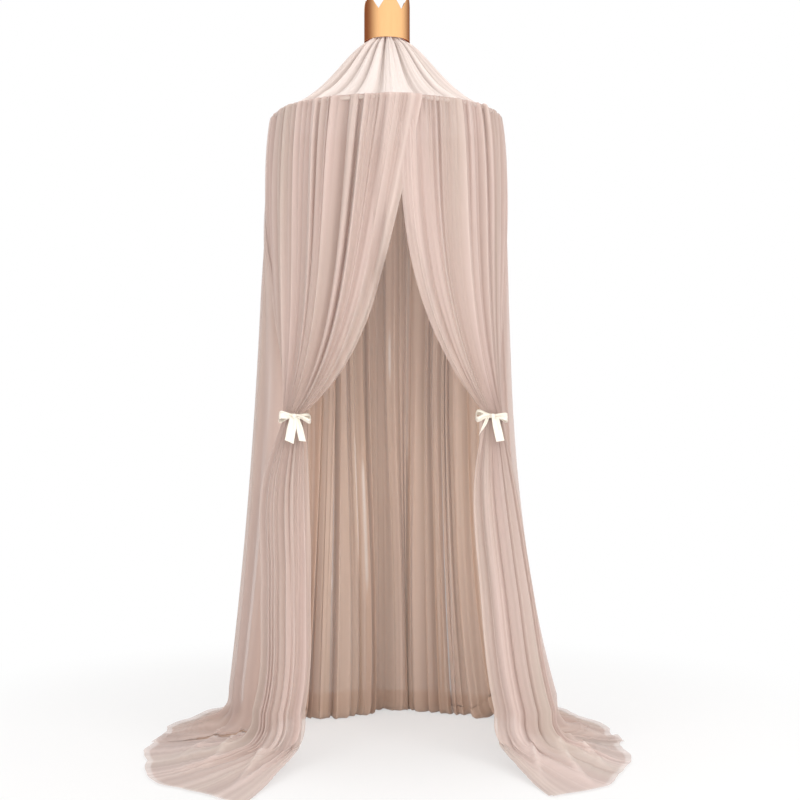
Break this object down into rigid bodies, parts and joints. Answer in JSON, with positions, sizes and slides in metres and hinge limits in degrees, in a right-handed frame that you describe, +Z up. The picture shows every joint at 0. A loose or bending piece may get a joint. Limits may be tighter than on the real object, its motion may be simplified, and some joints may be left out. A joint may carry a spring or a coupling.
{
  "type": "bed crown canopy",
  "caption": "Hanging bed canopy: gold crown on a gathered tulle cone, hidden hoop, floor-length curtains drawn aside by ribbon ties.",
  "frame": {"origin": "inner top of the hanging ring, where the hook bears", "axes": "+Z up along the canopy's axis, -Y towards the open front, +X to the right seen from the front"},
  "size_m": [1.3, 1.2185, 1.9795],
  "materials": {
    "steel_wire": "bright wire, zinc plated",
    "sleeve_steel": "drawn tube, plain",
    "cotton_webbing": "woven cotton tape",
    "gold_sheet": "polished copper-gold sheet",
    "pale_tulle": "fine net, gathered, one layer",
    "dusty_tulle": "fine net, gathered, two layers",
    "cream_satin": "woven satin ribbon",
    "fibreglass_rod": "drawn glass-fibre rod"
  },
  "bodies": {
    "canopy": {"hanging_webbing": "cotton_webbing", "neck_binding": "cotton_webbing", "dome_cone": "pale_tulle", "hoop_rod_1": "fibreglass_rod", "hoop_rod_2": "fibreglass_rod", "hoop_rod_3": "fibreglass_rod", "hoop_rod_4": "fibreglass_rod", "hoop_sleeve_1": "sleeve_steel", "hoop_sleeve_2": "sleeve_steel", "hoop_sleeve_3": "sleeve_steel", "hoop_sleeve_4": "sleeve_steel", "hoop_casing": "dusty_tulle", "curtain_back": "dusty_tulle", "curtain_left_side": "dusty_tulle", "curtain_right_side": "dusty_tulle", "curtain_front_left": "dusty_tulle", "curtain_front_right": "dusty_tulle", "tie_left_band": "cream_satin", "tie_left_knot": "cream_satin", "tie_left_loop_outer": "cream_satin", "tie_left_loop_inner": "cream_satin", "tie_left_tail_outer": "cream_satin", "tie_left_tail_inner": "cream_satin", "tie_right_band": "cream_satin", "tie_right_knot": "cream_satin", "tie_right_loop_outer": "cream_satin", "tie_right_loop_inner": "cream_satin", "tie_right_tail_outer": "cream_satin", "tie_right_tail_inner": "cream_satin"},
    "crown": {"crown_band": "gold_sheet", "crown_rivet_lower": "gold_sheet", "crown_rivet_upper": "gold_sheet"},
    "ring": {"hanging_ring": "steel_wire"}
  },
  "joints": [
    {"name": "crown_lift", "type": "slide", "parent": "canopy", "child": "crown", "axis": [0, 0, 1], "range_m": [0, 0.12]},
    {"name": "ring_swing", "type": "hinge", "parent": "canopy", "child": "ring", "pos_m": [0, 0, -0.034], "axis": [1, 0, 0], "range_deg": [-75, 75]}
  ]
}
